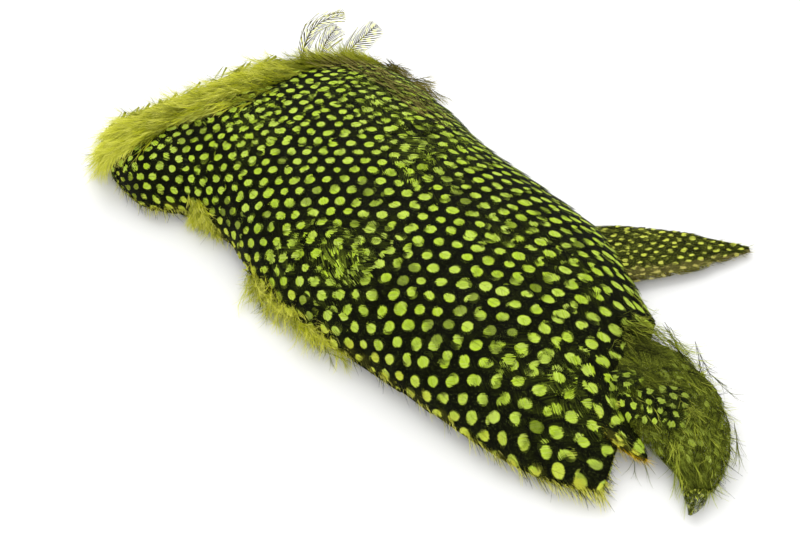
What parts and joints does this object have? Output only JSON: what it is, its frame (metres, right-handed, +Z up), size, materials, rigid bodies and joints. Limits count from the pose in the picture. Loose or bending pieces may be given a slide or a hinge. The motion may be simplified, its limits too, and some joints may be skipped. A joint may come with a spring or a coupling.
{
  "type": "guinea fowl feather skin",
  "caption": "Guinea fowl skin with its feathers on, dyed yellow-green, lying feather side up, with spotted body feathers, soft down at its edges and loose tail plumes.",
  "frame": {"origin": "under the middle of the whole skin's bounding box, on the surface it lies on", "axes": "+X from the neck to the tail, the way the feathers lie; +Z up; +Y towards the far side, with the thigh plume"},
  "size_m": [0.3212, 0.1704, 0.0452],
  "materials": {
    "spotted_feather": "near-black feather with yellow-green round spots, soft satin sheen",
    "dyed_down": "fluffy dyed down, matte",
    "olive_plume": "loose olive plumes with yellow flecks, matte",
    "dried_hide": "dried hide stained by the dye, dull"
  },
  "bodies": {
    "root": {"skin": "dried_hide", "body_feathers": "spotted_feather", "neck_down": "dyed_down", "breast_down": "dyed_down", "flank_down": "dyed_down", "shoulder_tuft": "olive_plume", "rump_tuft": "olive_plume", "thigh_plume": "olive_plume", "loose_feather_left": "spotted_feather", "loose_feather_middle": "spotted_feather", "loose_feather_right": "spotted_feather"}
  },
  "joints": []
}
